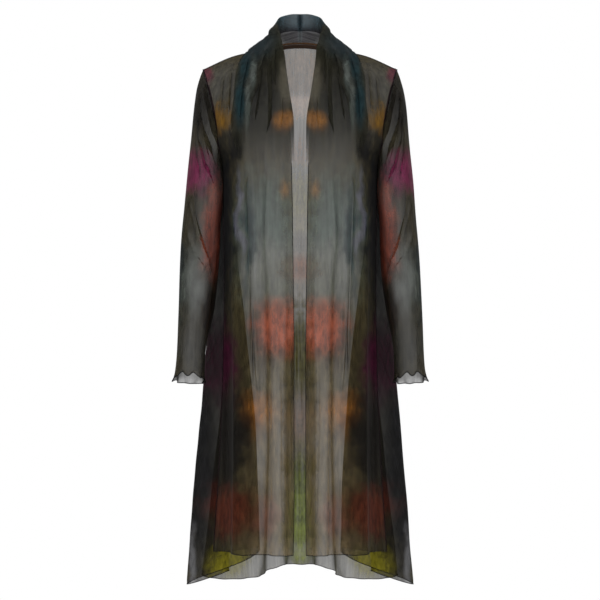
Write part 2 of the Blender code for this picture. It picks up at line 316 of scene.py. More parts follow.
# Narrow cotton binding over the back neck seam: matt, tan, rolled round the edge.
neckBinding = {"color": "#67482f", "stitch": 0.0026, "cover": 1.0, "roughness": 0.85}
threadTurns = {"gloss": 0.1, "shade": 0.3, "bump": 0.5, "deep": 0.0005}  # the hollows between the stitches


def threadWork(name, plan):
    material = bpy.data.materials.new(name)
    material.use_nodes = True
    tree = material.node_tree
    shader = tree.nodes["Principled BSDF"]
    shader.inputs["Roughness"].default_value = plan["roughness"]
    shader.inputs["Specular IOR Level"].default_value = threadTurns["gloss"]
    shader.inputs["Alpha"].default_value = plan["cover"]
    place = addNode(tree, "ShaderNodeTexCoord")
    turns = addNode(
        tree,
        "ShaderNodeTexNoise",
        {"Scale": 1 / plan["stitch"], "Detail": 1.0},
        {"Vector": place.outputs["Object"]},
    )
    color = hexColor(plan["color"])
    shade = addNode(
        tree,
        "ShaderNodeMix",
        {"data_type": "RGBA", 6: color, 7: [threadTurns["shade"] * c for c in color]},
        {0: turns.outputs[0]},
    )
    tree.links.new(shade.outputs[2], shader.inputs["Base Color"])
    wound = addNode(
        tree,
        "ShaderNodeBump",
        {"Strength": threadTurns["bump"], "Distance": threadTurns["deep"]},
        {"Height": turns.outputs[0]},
    )
    tree.links.new(wound.outputs[0], shader.inputs["Normal"])
    return material


def laidFlat(cloth):
    mesh = cloth.data
    takeUp(cloth)
    bpy.ops.object.mode_set(mode="EDIT")
    bpy.ops.mesh.select_all(action="SELECT")
    bpy.ops.uv.unwrap(method="CONFORMAL", margin=0.0)
    bpy.ops.object.mode_set(mode="OBJECT")
    layer = mesh.uv_layers.active.data
    flat = np.empty(len(layer) * 2)
    layer.foreach_get("uv", flat)
    flat = flat.reshape(-1, 2)
    height = np.array([mesh.vertices[loop.vertex_index].co.z for loop in mesh.loops])
    slope = np.linalg.lstsq(np.c_[flat, np.ones(len(flat))], height, rcond=None)[0]
    turn = math.atan2(slope[0], slope[1])
    flat = flat @ np.array([[math.cos(turn), math.sin(turn)], [-math.sin(turn), math.cos(turn)]])
    paper = 0.0
    for face in mesh.polygons:
        ring = flat[list(face.loop_indices)]
        after = np.roll(ring, -1, axis=0)
        paper += abs((ring[:, 0] * after[:, 1] - ring[:, 1] * after[:, 0]).sum()) / 2
    cut = sum(face.area for face in mesh.polygons)
    flat *= math.sqrt(cut / paper)  # metres, with the wales upright
    layer.foreach_set("uv", flat.ravel())
    return cut


# The frame's cloth is a thin wall, and only its outer skin is kept. Lengths in metres, the angle in degrees.
wallPlan = {"merge": 0.00005, "thickest": 0.0022, "square": 0.3, "pairAngle": 120, "upright": 0.02}


def mergedCopy(nodeName, pieceName):
    mesh = nodes[nodeName].data.copy()
    piece = bpy.data.objects.new(pieceName, mesh)
    scene.collection.objects.link(piece)
    mesh.name = piece.name
    takeUp(piece)
    bpy.ops.object.mode_set(mode="EDIT")
    bpy.ops.mesh.select_all(action="SELECT")
    bpy.ops.mesh.remove_doubles(threshold=wallPlan["merge"])
    bpy.ops.mesh.customdata_custom_splitnormals_clear()
    bpy.ops.object.mode_set(mode="OBJECT")
    return piece


def pickNone(kind):
    bpy.ops.object.mode_set(mode="EDIT")
    bpy.ops.mesh.select_mode(type=kind)
    bpy.ops.mesh.select_all(action="DESELECT")
    bpy.ops.object.mode_set(mode="OBJECT")


def skinOf(nodeName, facing, seamAt=None):
    cloth = mergedCopy(nodeName, nodeName + "_cloth")
    mesh = cloth.data
    pickNone("FACE")
    points = mesh.vertices
    normals = [Vector() for point in points]
    for face in mesh.polygons:
        for k in face.vertices:
            normals[k] += face.normal * face.area
    across = set()  # the wall's own thickness, along its rim
    for edge in mesh.edges:
        one, other = edge.key
        step = points[one].co - points[other].co
        if step.length < wallPlan["thickest"]:
            way = step.normalized()
            if all(abs(way.dot(normals[k].normalized())) > wallPlan["square"] for k in edge.key):
                across.add(edge.key)
    for face in mesh.polygons:
        face.select = any(key in across for key in face.edge_keys)
    bpy.ops.object.mode_set(mode="EDIT")
    bpy.ops.mesh.delete(type="FACE")
    bpy.ops.object.mode_set(mode="OBJECT")
    seed = max(mesh.polygons, key=lambda face: face.area * face.normal.dot(facing))
    seed.select = True
    bpy.ops.object.mode_set(mode="EDIT")
    bpy.ops.mesh.select_linked()
    bpy.ops.mesh.select_all(action="INVERT")
    bpy.ops.mesh.delete(type="FACE")
    bpy.ops.mesh.select_all(action="SELECT")
    pairAngle = math.radians(wallPlan["pairAngle"])
    bpy.ops.mesh.tris_convert_to_quads(face_threshold=pairAngle, shape_threshold=pairAngle)
    bpy.ops.object.mode_set(mode="OBJECT")
    if seamAt is not None:
        pickNone("EDGE")
        nearest, least = None, math.inf
        for edge in mesh.edges:
            one, other = (points[k].co for k in edge.vertices)
            away = ((one + other) / 2 - seamAt).length
            if abs(one.z - other.z) > wallPlan["upright"] and away < least:
                nearest, least = edge, away
        nearest.select = True
        bpy.ops.object.mode_set(mode="EDIT")
        bpy.ops.mesh.loop_multi_select(ring=False)
        bpy.ops.mesh.mark_seam(clear=False)
        bpy.ops.object.mode_set(mode="OBJECT")
    quads = sum(len(face.vertices) == 4 for face in mesh.polygons)
    cut = laidFlat(cloth)
    print(f"{cloth.name}: {len(mesh.polygons)} faces, {quads} of them quads, cut {cut:.3f} m2")
    return cloth


def smoothed(cloth, levels):
    mesh = cloth.data
    smooth = cloth.modifiers.new("smooth", "SUBSURF")
    smooth.levels = smooth.render_levels = 1
    smooth.use_limit_surface = True
    smooth.boundary_smooth = "PRESERVE_CORNERS"
    bpy.context.view_layer.update()
    soft = cloth.evaluated_get(bpy.context.evaluated_depsgraph_get()).data
    drawn = [soft.vertices[k].co.copy() for k in range(len(mesh.vertices))]
    for point, pulled in zip(mesh.vertices, drawn):
        point.co += point.co - pulled  # so that the smooth cloth keeps its folds' depth
    smooth.levels = smooth.render_levels = levels
    takeUp(cloth)
    bpy.ops.object.modifier_apply(modifier=smooth.name)
    bpy.ops.object.shade_smooth()
    return cloth


def mirroredFrom(cloth, nodeName):
    takeUp(cloth)
    bpy.ops.object.duplicate()
    twin = bpy.context.object
    twin.name = nodeName + "_cloth"
    twin.data.name = twin.name
    twin.scale.x = -1
    bpy.ops.object.transform_apply(location=False, rotation=False, scale=True)
    bpy.ops.object.mode_set(mode="EDIT")
    bpy.ops.mesh.select_all(action="SELECT")
    bpy.ops.mesh.flip_normals()
    bpy.ops.object.mode_set(mode="OBJECT")
    return twin


clothLevels = 3  # rounds of subdivision
clothPieces = {
    "sleeve_left": {"facing": Vector((1, 0, 0)), "slot": "sleeve", "seamAt": Vector((0.17, 0.0, -0.35))},
    "sleeve_right": {"facing": Vector((-1, 0, 0)), "slot": "sleeve", "seamAt": Vector((-0.17, 0.0, -0.35))},
    "collar_right": {"facing": Vector((0, -1, 0)), "slot": "collar"},
    "collar_left": {"mirrors": "collar_right", "slot": "collar"},
    "front_left": {"facing": Vector((0, -1, 0)), "slot": "front"},
    "front_right": {"facing": Vector((0, -1, 0)), "slot": "front"},
    "back": {"facing": Vector((0, 1, 0)), "slot": "back"},
}

cloths = {}
for name, plan in clothPieces.items():
    if "mirrors" in plan:
        cloths[name] = mirroredFrom(cloths[plan["mirrors"]], name)
    else:
        cloths[name] = smoothed(skinOf(name, plan["facing"], plan.get("seamAt")), clothLevels)
print("cloth cut and smoothed")


def pointsOf(mesh):
    flat = np.empty(len(mesh.vertices) * 3)
    mesh.vertices.foreach_get("co", flat)
    return flat.reshape(-1, 3)


def normalsOf(mesh):
    flat = np.empty(len(mesh.vertices) * 3)
    mesh.vertex_normals.foreach_get("vector", flat)
    return flat.reshape(-1, 3)


def moveTo(mesh, places):
    mesh.vertices.foreach_set("co", places.ravel())
    mesh.update()


def borderOf(mesh):
    edges = np.empty(len(mesh.loops), int)
    mesh.loops.foreach_get("edge_index", edges)
    used = np.bincount(edges, minlength=len(mesh.edges))
    return np.flatnonzero(used == 1)


def treeOf(places):
    tree = kdtree.KDTree(len(places))
    for k, place in enumerate(places):
        tree.insert(place, k)
    tree.balance()
    return tree


# Under the arm the sleeve's inner side lies against the body, as cloth does. Heights and lengths in metres.
armRest = {"push": 0.009, "middle": -0.270, "reach": 0.080, "clear": 0.0012, "look": 0.018, "least": 0.0001}
for name, panels, side in (
    ("sleeve_left", ("front_left", "back"), 1),
    ("sleeve_right", ("front_right", "back"), -1),
):
    mesh = cloths[name].data
    places, normals = pointsOf(mesh), normalsOf(mesh)
    bodies = [
        bvhtree.BVHTree.FromObject(cloths[panel], bpy.context.evaluated_depsgraph_get()) for panel in panels
    ]
    level = np.clip(1 - ((places[:, 2] - armRest["middle"]) / armRest["reach"]) ** 2, 0, 1) ** 2
    shift = armRest["push"] * level * np.clip(-normals[:, 0] * side, 0, 1)
    inwards = Vector((-side, 0, 0))
    for k in np.flatnonzero(shift > armRest["least"]):
        for body in bodies:
            away = body.ray_cast(Vector(places[k]), inwards, armRest["look"])[3]
            if away is not None:
                shift[k] = min(shift[k], max(away - armRest["clear"], 0))
    places[:, 0] -= side * shift
    moveTo(mesh, places)
print("sleeves rest against the sides")

# Below the chest the lapel's gathers sink down onto the front, with a gap left clear. All in metres.
lapelRest = {"starts": -0.08, "laid": -0.18, "clear": 0.0025, "reach": 0.06}
for name, panel in (("collar_left", "front_left"), ("collar_right", "front_right")):
    mesh = cloths[name].data
    places = pointsOf(mesh)
    front = bvhtree.BVHTree.FromObject(cloths[panel], bpy.context.evaluated_depsgraph_get())
    level = np.clip((lapelRest["starts"] - places[:, 2]) / (lapelRest["starts"] - lapelRest["laid"]), 0, 1)
    for k in np.flatnonzero(level > 0):
        away = front.ray_cast(Vector(places[k]), Vector((0, 1, 0)), lapelRest["reach"])[3]
        if away is not None:
            places[k, 1] += level[k] ** 2 * (3 - 2 * level[k]) * max(away - lapelRest["clear"], 0)
    moveTo(mesh, places)
print("lapels laid down on the fronts")

# Folds that are pulled or gathered into the cloth, in metres: a path of (x, z) as seen from the front,
# with x to either side, then half the fold's width at its start and end, and its height. A lap lays the
# cloth over itself, so that three layers show dark. side 1 is on the cloth's back.
foldPlan = {
    "collar": [
        {
            "path": [(0.066, -0.004), (0.082, -0.050), (0.097, -0.115), (0.102, -0.190)],
            "half": (0.0110, 0.0060),
            "height": 0.0060,
            "lap": 1.35,
        },
        {
            "path": [(0.073, -0.050), (0.080, -0.104), (0.089, -0.160)],
            "half": (0.0040, 0.0035),
            "height": 0.0030,
            "lap": 1.3,
        },
        {
            "path": [(0.060, -0.008), (0.059, -0.080), (0.059, -0.145), (0.069, -0.190)],
            "half": (0.0050, 0.0045),
            "height": 0.0040,
            "lap": 1.35,
        },
        {
            "path": [(0.049, 0.002), (0.050, -0.040), (0.047, -0.085)],
            "half": (0.0080, 0.0045),
            "height": 0.0040,
            "lap": 1.3,
        },
        {
            "path": [(0.100, -0.012), (0.112, -0.060), (0.117, -0.110), (0.116, -0.165)],
            "half": (0.0060, 0.0060),
            "height": 0.0040,
            "lap": 1.0,
        },
        {
            "path": [(0.034, -0.090), (0.033, -0.130), (0.038, -0.175)],
            "half": (0.0045, 0.0045),
            "height": 0.0030,
            "lap": 0.6,
        },
    ],
    "front": [
        {
            "path": [(0.136, -0.040), (0.137, -0.080), (0.138, -0.135)],
            "half": (0.0050, 0.0050),
            "height": 0.0040,
            "lap": 1.35,
        },
        {
            "path": [(0.150, -0.050), (0.152, -0.090), (0.156, -0.140)],
            "half": (0.0040, 0.0040),
            "height": 0.0030,
            "lap": 1.3,
        },
        {
            "path": [(0.099, -0.240), (0.098, -0.360), (0.097, -0.500), (0.096, -0.680)],
            "half": (0.0100, 0.0100),
            "height": 0.0150,
        },
        {
            "path": [(0.088, -0.480), (0.086, -0.570), (0.078, -0.700)],
            "half": (0.0060, 0.0060),
            "height": 0.0090,
        },
        {
            "path": [(0.019, -0.560), (0.021, -0.690), (0.018, -0.860)],
            "half": (0.0050, 0.0050),
            "height": 0.0080,
        },
        {
            "path": [(0.034, -0.600), (0.033, -0.760), (0.030, -0.980)],
            "half": (0.0060, 0.0060),
            "height": 0.0050,
        },
        {
            "path": [(0.060, -0.250), (0.066, -0.360), (0.062, -0.460)],
            "half": (0.0100, 0.0100),
            "height": 0.0040,
        },
    ],
    "sleeve": [
        {
            "path": [(0.192, -0.054), (0.184, -0.098), (0.173, -0.145), (0.162, -0.205)],
            "half": (0.0060, 0.0060),
            "height": 0.0040,
            "lap": 1.35,
        },
        {
            "path": [(0.200, -0.082), (0.194, -0.134), (0.183, -0.180), (0.163, -0.238)],
            "half": (0.0060, 0.0060),
            "height": 0.0040,
            "lap": 1.35,
        },
        {
            "path": [(0.201, -0.120), (0.199, -0.178), (0.187, -0.224), (0.166, -0.275)],
            "half": (0.0060, 0.0060),
            "height": 0.0040,
            "lap": 1.35,
        },
        {
            "path": [(0.204, -0.150), (0.204, -0.204), (0.196, -0.262)],
            "half": (0.0045, 0.0045),
            "height": 0.0030,
            "lap": 1.2,
        },
        {
            "path": [(0.208, -0.262), (0.204, -0.326), (0.190, -0.392), (0.165, -0.460)],
            "half": (0.0055, 0.0055),
            "height": 0.0040,
            "lap": 0.9,
        },
        {
            "path": [(0.170, -0.400), (0.188, -0.424), (0.208, -0.470)],
            "half": (0.0045, 0.0045),
            "height": 0.0030,
        },
        {
            "path": [(0.226, -0.540), (0.230, -0.640)],
            "half": (0.0060, 0.0060),
            "height": 0.0040,
        },
        {
            "path": [(0.190, -0.600), (0.214, -0.606), (0.240, -0.600)],
            "half": (0.0030, 0.0030),
            "height": 0.0020,
        },
        {
            "path": [(0.186, -0.060), (0.178, -0.110), (0.170, -0.170), (0.166, -0.230)],
            "half": (0.0060, 0.0060),
            "height": 0.0040,
            "lap": 0.8,
            "side": 1,
        },
        {
            "path": [(0.200, -0.090), (0.194, -0.160), (0.180, -0.230)],
            "half": (0.0060, 0.0060),
            "height": 0.0040,
            "lap": 0.8,
            "side": 1,
        },
        {
            "path": [(0.222, -0.290), (0.206, -0.360), (0.184, -0.410)],
            "half": (0.0060, 0.0060),
            "height": 0.0040,
            "lap": 0.8,
            "side": 1,
        },
        {
            "path": [(0.228, -0.350), (0.210, -0.400), (0.186, -0.440)],
            "half": (0.0060, 0.0060),
            "height": 0.0040,
            "lap": 0.8,
            "side": 1,
        },
    ],
    "back": [
        {
            "path": [(0.085, -0.040), (0.112, -0.120), (0.135, -0.210)],
            "half": (0.0100, 0.0100),
            "height": 0.0060,
            "side": 1,
        },
        {
            "path": [(0.045, -0.020), (0.075, -0.130), (0.105, -0.260)],
            "half": (0.0120, 0.0120),
            "height": 0.0060,
            "side": 1,
        },
        {
            "path": [(0.150, -0.070), (0.148, -0.150), (0.150, -0.220)],
            "half": (0.0060, 0.0060),
            "height": 0.0060,
            "side": 1,
        },
    ],
}
# A fold starts and ends softly, and dies out where the cloth turns away sideways.
pressPlan = {"crest": 1.4, "starts": 0.12, "ends": 0.28, "turned": 0.10, "facing": 0.45}
lapPlan = {"top": 0.4, "spread": 0.5}  # where the laid-over layer lies highest, in half widths


def pressFolds(cloth, folds):
    mesh = cloth.data
    places, normals = pointsOf(mesh), normalsOf(mesh)
    seen = np.c_[abs(places[:, 0]), places[:, 2]]
    moved = places.copy()
    for fold in folds:
        path = np.array(fold["path"])
        steps = np.diff(path, axis=0)
        sizes = np.linalg.norm(steps, axis=1)
        off = np.full(len(places), np.inf)
        along = np.zeros(len(places))
        aside = np.zeros((len(places), 2))
        done = 0.0
        for start, step, size in zip(path, steps, sizes):
            share = np.clip((seen - start) @ step / size**2, 0, 1)
            outwards = np.array((-step[1], step[0])) / size
            gap = seen - start - share[:, None] * step
            away = np.linalg.norm(gap, axis=1)
            nearer = away < abs(off)
            off = np.where(nearer, np.copysign(away, gap @ outwards), off)
            along = np.where(nearer, (done + share * size) / sizes.sum(), along)
            aside = np.where(nearer[:, None], outwards, aside)
            done += size
        part = off / np.interp(along, (0, 1), fold["half"])
        taper = np.clip(along / pressPlan["starts"], 0, 1) * np.clip((1 - along) / pressPlan["ends"], 0, 1)
        turned = normals[:, 1] * fold.get("side", -1) - pressPlan["turned"]
        taper *= np.clip(turned / (pressPlan["facing"] - pressPlan["turned"]), 0, 1)
        if "lap" in fold:
            rise = np.exp(-(((part - lapPlan["top"]) / lapPlan["spread"]) ** 2))
            slide = np.sin(math.pi * np.clip(part, -1, 1)) * np.interp(along, (0, 1), fold["half"])
            sideways = np.c_[aside[:, 0] * np.sign(places[:, 0]), np.zeros(len(places)), aside[:, 1]]
            sideways -= normals * (sideways * normals).sum(axis=1)[:, None]
            moved -= sideways * (fold["lap"] * slide * taper)[:, None]
        else:
            rise = np.clip(1 - abs(part), 0, None) ** pressPlan["crest"]
        moved += normals * (fold["height"] * rise * taper)[:, None]
    moveTo(mesh, moved)


# Soft unevenness of limp net, in metres: how deep, wide and long it is. It dies out towards the seams.
slackPlan = {"deep": 0.0026, "wide": 0.038, "long": 0.13, "border": 0.03}
# Borders as near to each other as this are one seam, and the cloth within the pull gives way to close it.
sewnPlan = {"reach": 0.006, "armholeReach": 0.012, "pull": 0.018}
hemPlan = {
    "front": {"below": -0.95, "deep": 0.0016, "wave": 0.034, "reach": 0.014},
    "back": {"below": -0.97, "deep": 0.0018, "wave": 0.036, "reach": 0.014},
}

for name, cloth in cloths.items():
    pressFolds(cloth, foldPlan[clothPieces[name]["slot"]])
print("folds pressed")

# The cuff's frill is drawn up at the front and hangs almost even at the back. Lengths in metres.
cuffPlan = {"below": -0.60, "deep": 0.040, "kept": 0.15, "drawn": 0.006, "turnsOver": 2}
for name in ("sleeve_left", "sleeve_right"):
    mesh = cloths[name].data
    places = pointsOf(mesh)
    ends = {k for edge in borderOf(mesh) for k in mesh.edges[int(edge)].vertices}
    rim = places[[k for k in ends if places[k, 2] < cuffPlan["below"]]]
    turn = np.arctan2(rim[:, 1] - rim[:, 1].mean(), rim[:, 0] - rim[:, 0].mean())
    ring = np.c_[np.ones(len(rim)), np.cos(turn), np.sin(turn)]
    even = ring @ np.linalg.lstsq(ring, rim[:, 2], rcond=None)[0]
    rise = np.clip(np.sin(turn) * cuffPlan["turnsOver"], 0, 1) * (1 - cuffPlan["kept"]) * (even - rim[:, 2])
    rise += np.clip(-np.sin(turn), 0, 1) * cuffPlan["drawn"]
    tree = treeOf(rim)
    for k in np.flatnonzero(places[:, 2] < rim[:, 2].max() + cuffPlan["deep"]):
        index, away = tree.find(Vector(places[k]))[1:]
        places[k, 2] += rise[index] * max(1 - away / cuffPlan["deep"], 0)
    moveTo(mesh, places)
print("cuffs drawn up")

borders = {}
for name, cloth in cloths.items():
    mesh = cloth.data
    edges = [tuple(mesh.edges[int(k)].vertices) for k in borderOf(mesh)]
    spots = {k: mesh.vertices[k].co.copy() for edge in edges for k in edge}
    beside = {k: [] for k in spots}
    for one, other in edges:
        beside[one].append(other)
        beside[other].append(one)
    keys = list(spots)
    borders[name] = {
        "edges": edges,
        "spots": spots,
        "beside": beside,
        "keys": keys,
        "tree": treeOf([spots[k] for k in keys]),
    }


def seamPartner(name, spot):
    best = None
    for other, border in borders.items():
        if other == name:
            continue
        armhole = "sleeve" in (clothPieces[name]["slot"], clothPieces[other]["slot"])
        reach = sewnPlan["armholeReach"] if armhole else sewnPlan["reach"]
        near, index, away = border["tree"].find(spot)
        if away > reach or (best is not None and away > best[0]):
            continue
        key = border["keys"][index]
        for beside in border["beside"][key]:  # the nearest point of the stretch, not only its end
            on, share = geometry.intersect_point_line(spot, border["spots"][key], border["spots"][beside])
            if 0 < share < 1 and (on - spot).length < away:
                near, away = on, (on - spot).length
        best = (away, other, near.copy())
    return best


for name, border in borders.items():
    border["sewn"] = {k: seamPartner(name, spot) for k, spot in border["spots"].items()}

for name, cloth in cloths.items():
    mesh = cloth.data
    border = borders[name]
    places, normals = pointsOf(mesh), normalsOf(mesh)
    found = [border["tree"].find(Vector(place)) for place in places]
    nearest = [border["keys"][hit[1]] for hit in found]
    away = np.array([hit[2] for hit in found])
    joins = [border["sewn"][k] for k in nearest]
    free = np.array([join is None for join in joins], float)
    closing = np.array([
        (0, 0, 0) if join is None else (join[2] - border["spots"][k]) / 2 for k, join in zip(nearest, joins)
    ])
    give = np.clip(1 - away / sewnPlan["pull"], 0, 1) ** 2
    hold = np.clip(np.maximum(away / slackPlan["border"], free), 0, 1)
    scale = Vector((1 / slackPlan["wide"], 1 / slackPlan["wide"], 1 / slackPlan["long"]))
    waver = np.array([noise.noise(Vector(place) * scale) for place in places])
    lift = slackPlan["deep"] * waver * hold
    hem = hemPlan.get(clothPieces[name]["slot"])
    if hem is not None:
        along = np.empty(len(mesh.loops) * 2)
        mesh.uv_layers.active.data.foreach_get("uv", along)
        corners = np.empty(len(mesh.loops), int)
        mesh.loops.foreach_get("vertex_index", corners)
        run = np.zeros(len(places))
        run[corners] = along[::2]
        low = free * (places[:, 2] < hem["below"]) * np.clip(1 - away / hem["reach"], 0, 1)
        lift += hem["deep"] * low * np.sin(2 * math.pi * run / hem["wave"])
    moveTo(mesh, places + closing * give[:, None] + normals * lift[:, None])
print("cloth hung, seams closed, hems rippled")

# Each bloom: centre, reach, colour, strength and cover, in metres. x counts from the centre line outwards.
bloomPlan = {
    "front": [
        ((0.155, -0.05, -0.76), (0.062, 0.3, 0.42), "#17150f", 0.92, 0.84),
        ((0.07, -0.08, -0.08), (0.064, 0.3, 0.12), "#1a1a14", 0.95, 0.50),
        ((0.06, -0.12, -0.22), (0.10, 0.3, 0.10), "#332e1c", 0.9, 0.71),
        ((0.07, -0.12, -0.36), (0.10, 0.3, 0.16), "#334039", 0.9, 0.68),
        ((0.06, -0.12, -0.45), (0.09, 0.3, 0.10), "#46483a", 0.9, 0.55),
        ((0.156, -0.03, -0.34), (0.050, 0.3, 0.32), "#0b0c0e", 0.98, 0.95),
        ((0.117, -0.09, -0.33), (0.008, 0.3, 0.11), "#3f3f4c", 0.8, 0.60),
        ((0.100, -0.11, -0.38), (0.013, 0.3, 0.17), "#14262c", 0.7, 0.82),
        ((0.03, -0.12, -0.146), (0.036, 0.3, 0.032), "#8a5a22", 0.8, 0.76),
        ((0.026, -0.12, -0.28), (0.020, 0.3, 0.03), "#6e4a1c", 0.6, 0.74),
        ((0.03, -0.13, -0.545), (0.076, 0.3, 0.080), "#82402a", 0.95, 0.75),
        ((0.05, -0.12, -0.64), (0.07, 0.3, 0.05), "#4d4632", 0.8, 0.66),
        ((0.078, -0.12, -0.71), (0.060, 0.3, 0.06), "#845018", 0.9, 0.76),
        ((0.045, -0.13, -0.82), (0.075, 0.3, 0.26), "#5a4d34", 0.85, 0.56),
        ((0.05, -0.13, -0.99), (0.07, 0.3, 0.08), "#66573f", 0.8, 0.48),
        ((0.155, -0.05, -0.62), (0.045, 0.3, 0.12), "#2c061a", 0.95, 0.94),
        ((0.14, -0.05, -0.76), (0.07, 0.3, 0.14), "#100e0c", 0.9, 0.84),
        ((0.13, -0.05, -0.91), (0.085, 0.3, 0.075), "#3e190e", 0.9, 0.92),
        ((0.062, -0.13, -0.91), (0.030, 0.3, 0.06), "#6a3c34", 0.5, 0.62),
        ((0.15, -0.03, -0.06), (0.06, 0.3, 0.06), "#36342d", 0.8, 0.74),
        ((0.152, -0.04, -0.137), (0.026, 0.3, 0.038), "#5c400a", 0.95, 0.90),
        ((0.122, -0.06, -0.19), (0.022, 0.3, 0.07), "#0c0c0d", 0.95, 0.95),
        ((0.19, 0.0, -0.04), (0.026, 0.3, 0.045), "#4e1526", 0.8, 0.80),
    ],
    "back": [
        ((0.175, 0.05, -0.72), (0.085, 0.4, 0.44), "#17150f", 0.92, 0.84),
        ((0.075, 0.1, -0.38), (0.07, 0.4, 0.16), "#20363a", 0.8, 0.66),
        ((0.07, 0.11, -0.60), (0.05, 0.4, 0.08), "#6a3020", 0.8, 0.74),
        ((0.06, 0.12, -0.80), (0.07, 0.4, 0.20), "#3a362a", 0.8, 0.66),
        ((0.0, 0.10, -0.12), (0.12, 0.4, 0.10), "#54442e", 0.5, 0.74),
        ((0.0, 0.10, -0.28), (0.11, 0.4, 0.11), "#4c4a26", 0.5, 0.74),
        ((0.0, 0.10, -0.44), (0.10, 0.4, 0.07), "#523828", 0.5, 0.76),
        ((0.0, 0.12, -0.92), (0.09, 0.4, 0.16), "#40441e", 0.5, 0.72),
        ((0.0, 0.11, -0.36), (0.045, 0.4, 0.22), "#8c7c5a", 0.9, 0.80),
        ((0.0, 0.11, -0.76), (0.044, 0.4, 0.40), "#6e5f3a", 0.97, 0.93),
        ((0.0, 0.09, -0.03), (0.10, 0.4, 0.08), "#84684a", 0.9, 0.80),
        ((0.0, 0.09, -0.098), (0.060, 0.4, 0.034), "#c08856", 0.9, 0.73),
        ((0.0, 0.09, -0.190), (0.055, 0.4, 0.045), "#8f6240", 0.85, 0.77),
        ((0.0, 0.1, -0.290), (0.052, 0.4, 0.085), "#8f8538", 0.90, 0.82),
        ((0.0, 0.1, -0.380), (0.035, 0.4, 0.03), "#5a4c40", 0.8, 0.82),
        ((0.0, 0.1, -0.430), (0.052, 0.4, 0.045), "#a86c4a", 0.92, 0.86),
        ((0.0, 0.1, -0.600), (0.046, 0.4, 0.13), "#706a2c", 0.98, 0.975),
        ((0.0, 0.1, -0.745), (0.040, 0.4, 0.07), "#8c6440", 0.88, 0.91),
        ((0.0, 0.12, -0.93), (0.046, 0.4, 0.18), "#727e2c", 0.96, 0.96),
        ((0.145, 0.03, -0.36), (0.050, 0.4, 0.26), "#0d0e0f", 0.9, 0.88),
        ((0.210, 0.05, -0.78), (0.060, 0.4, 0.48), "#111113", 0.92, 0.93),
        ((0.15, 0.06, -0.62), (0.07, 0.4, 0.12), "#2c061a", 0.9, 0.90),
        ((0.13, 0.06, -0.90), (0.09, 0.4, 0.07), "#421a10", 0.9, 0.84),
        ((0.138, 0.07, -1.03), (0.065, 0.4, 0.05), "#6a6418", 0.95, 0.88),
        ((0.07, 0.15, -1.05), (0.06, 0.4, 0.05), "#403e33", 0.8, 0.71),
        # painted sheen: a soft grey streak down the back's outermost fold near the hem, for light glancing
        # off it
        ((0.219, 0.04, -1.02), (0.013, 0.4, 0.11), "#4a4a4e", 0.6, 0.66),
    ],
    "sleeve": [
        ((0.200, -0.01, -0.250), (0.044, 0.3, 0.065), "#5c1a3a", 0.9, 0.84),
        ((0.170, -0.01, -0.36), (0.034, 0.3, 0.14), "#70301f", 0.95, 0.78),
        ((0.212, -0.01, -0.46), (0.04, 0.3, 0.10), "#3c413c", 0.9, 0.68),
        ((0.19, 0.0, -0.11), (0.06, 0.3, 0.09), "#12100e", 0.85, 0.84),
        ((0.240, 0.0, -0.44), (0.020, 0.3, 0.20), "#10181a", 0.8, 0.84),
        ((0.172, 0.0, -0.52), (0.024, 0.3, 0.08), "#1c120a", 0.9, 0.88),
        ((0.215, 0.0, -0.58), (0.05, 0.3, 0.06), "#2b2a24", 0.8, 0.76),
        ((0.220, 0.0, -0.68), (0.08, 0.3, 0.03), "#4a4a4c", 0.8, 0.55),
    ],
    "collar": [
        ((0.075, -0.07, -0.100), (0.055, 0.2, 0.110), "#1b1a15", 0.9, 0.83),
        ((0.092, -0.04, -0.050), (0.011, 0.2, 0.06), "#464c48", 0.85, 0.60),
        ((0.102, -0.08, -0.115), (0.010, 0.2, 0.07), "#464c48", 0.85, 0.60),
        ((0.028, -0.09, -0.075), (0.018, 0.2, 0.07), "#4a463a", 0.8, 0.62),
        ((0.109, -0.03, -0.030), (0.017, 0.2, 0.06), "#132529", 0.95, 0.95),
        ((0.117, -0.08, -0.110), (0.018, 0.2, 0.07), "#132529", 0.95, 0.95),
        ((0.0, 0.08, 0.076), (0.10, 0.1, 0.032), "#2a4049", 0.95, 0.74),
        ((0.0, 0.08, 0.042), (0.09, 0.1, 0.034), "#1d191f", 0.98, 0.96),
        ((0.0, 0.08, 0.055), (0.009, 0.1, 0.070), "#18262c", 0.95, 0.93),
        ((0.03, -0.1, -0.146), (0.030, 0.2, 0.028), "#8a5a22", 0.7, 0.66),
        ((0.085, 0.04, 0.012), (0.066, 0.2, 0.07), "#101b1f", 0.95, 0.97),
    ],
}
# The ground colour, how far the colours' edges wander in metres, and how raggedly the dye ran. The collar's
# gathers melt into the front between the two heights at which it ends.
clothPrint = {
    "front": {"ground": "#332d1c", "warp": 0.060, "bleed": 0.7},
    "back": {"ground": "#322d1c", "warp": 0.050, "bleed": 0.7},
    "sleeve": {"ground": "#292519", "warp": 0.060, "bleed": 0.7},
    "collar": {"ground": "#1f1e14", "warp": 0.016, "bleed": 0.3, "ends": (-0.250, -0.120)},
}
clothMaterials = {slot: printedMesh(slot, plan, bloomPlan[slot]) for slot, plan in clothPrint.items()}
edgeMaterial = threadWork("overlocked polyester thread", edgeThread)
seamMaterial = threadWork("overlocked seam, plum thread", seamThread)
tapeMaterial = threadWork("woven cotton tape", neckTape)
bindingMaterial = threadWork("narrow cotton binding", neckBinding)
print("materials made")

# Radius in metres of the overlocked edge, and of each seam by the piece that carries it.
edgePlan = {
    "edge": {"sleeve": 0.0010, "collar": 0.0007, "front": 0.0007, "back": 0.0008},
    "seam": {"sleeve": 0.0016, "collar": 0.0006, "front": 0.0011},
    "binding": 0.0020,
    "rounds": 1,
    "collarHigh": -0.03,
}


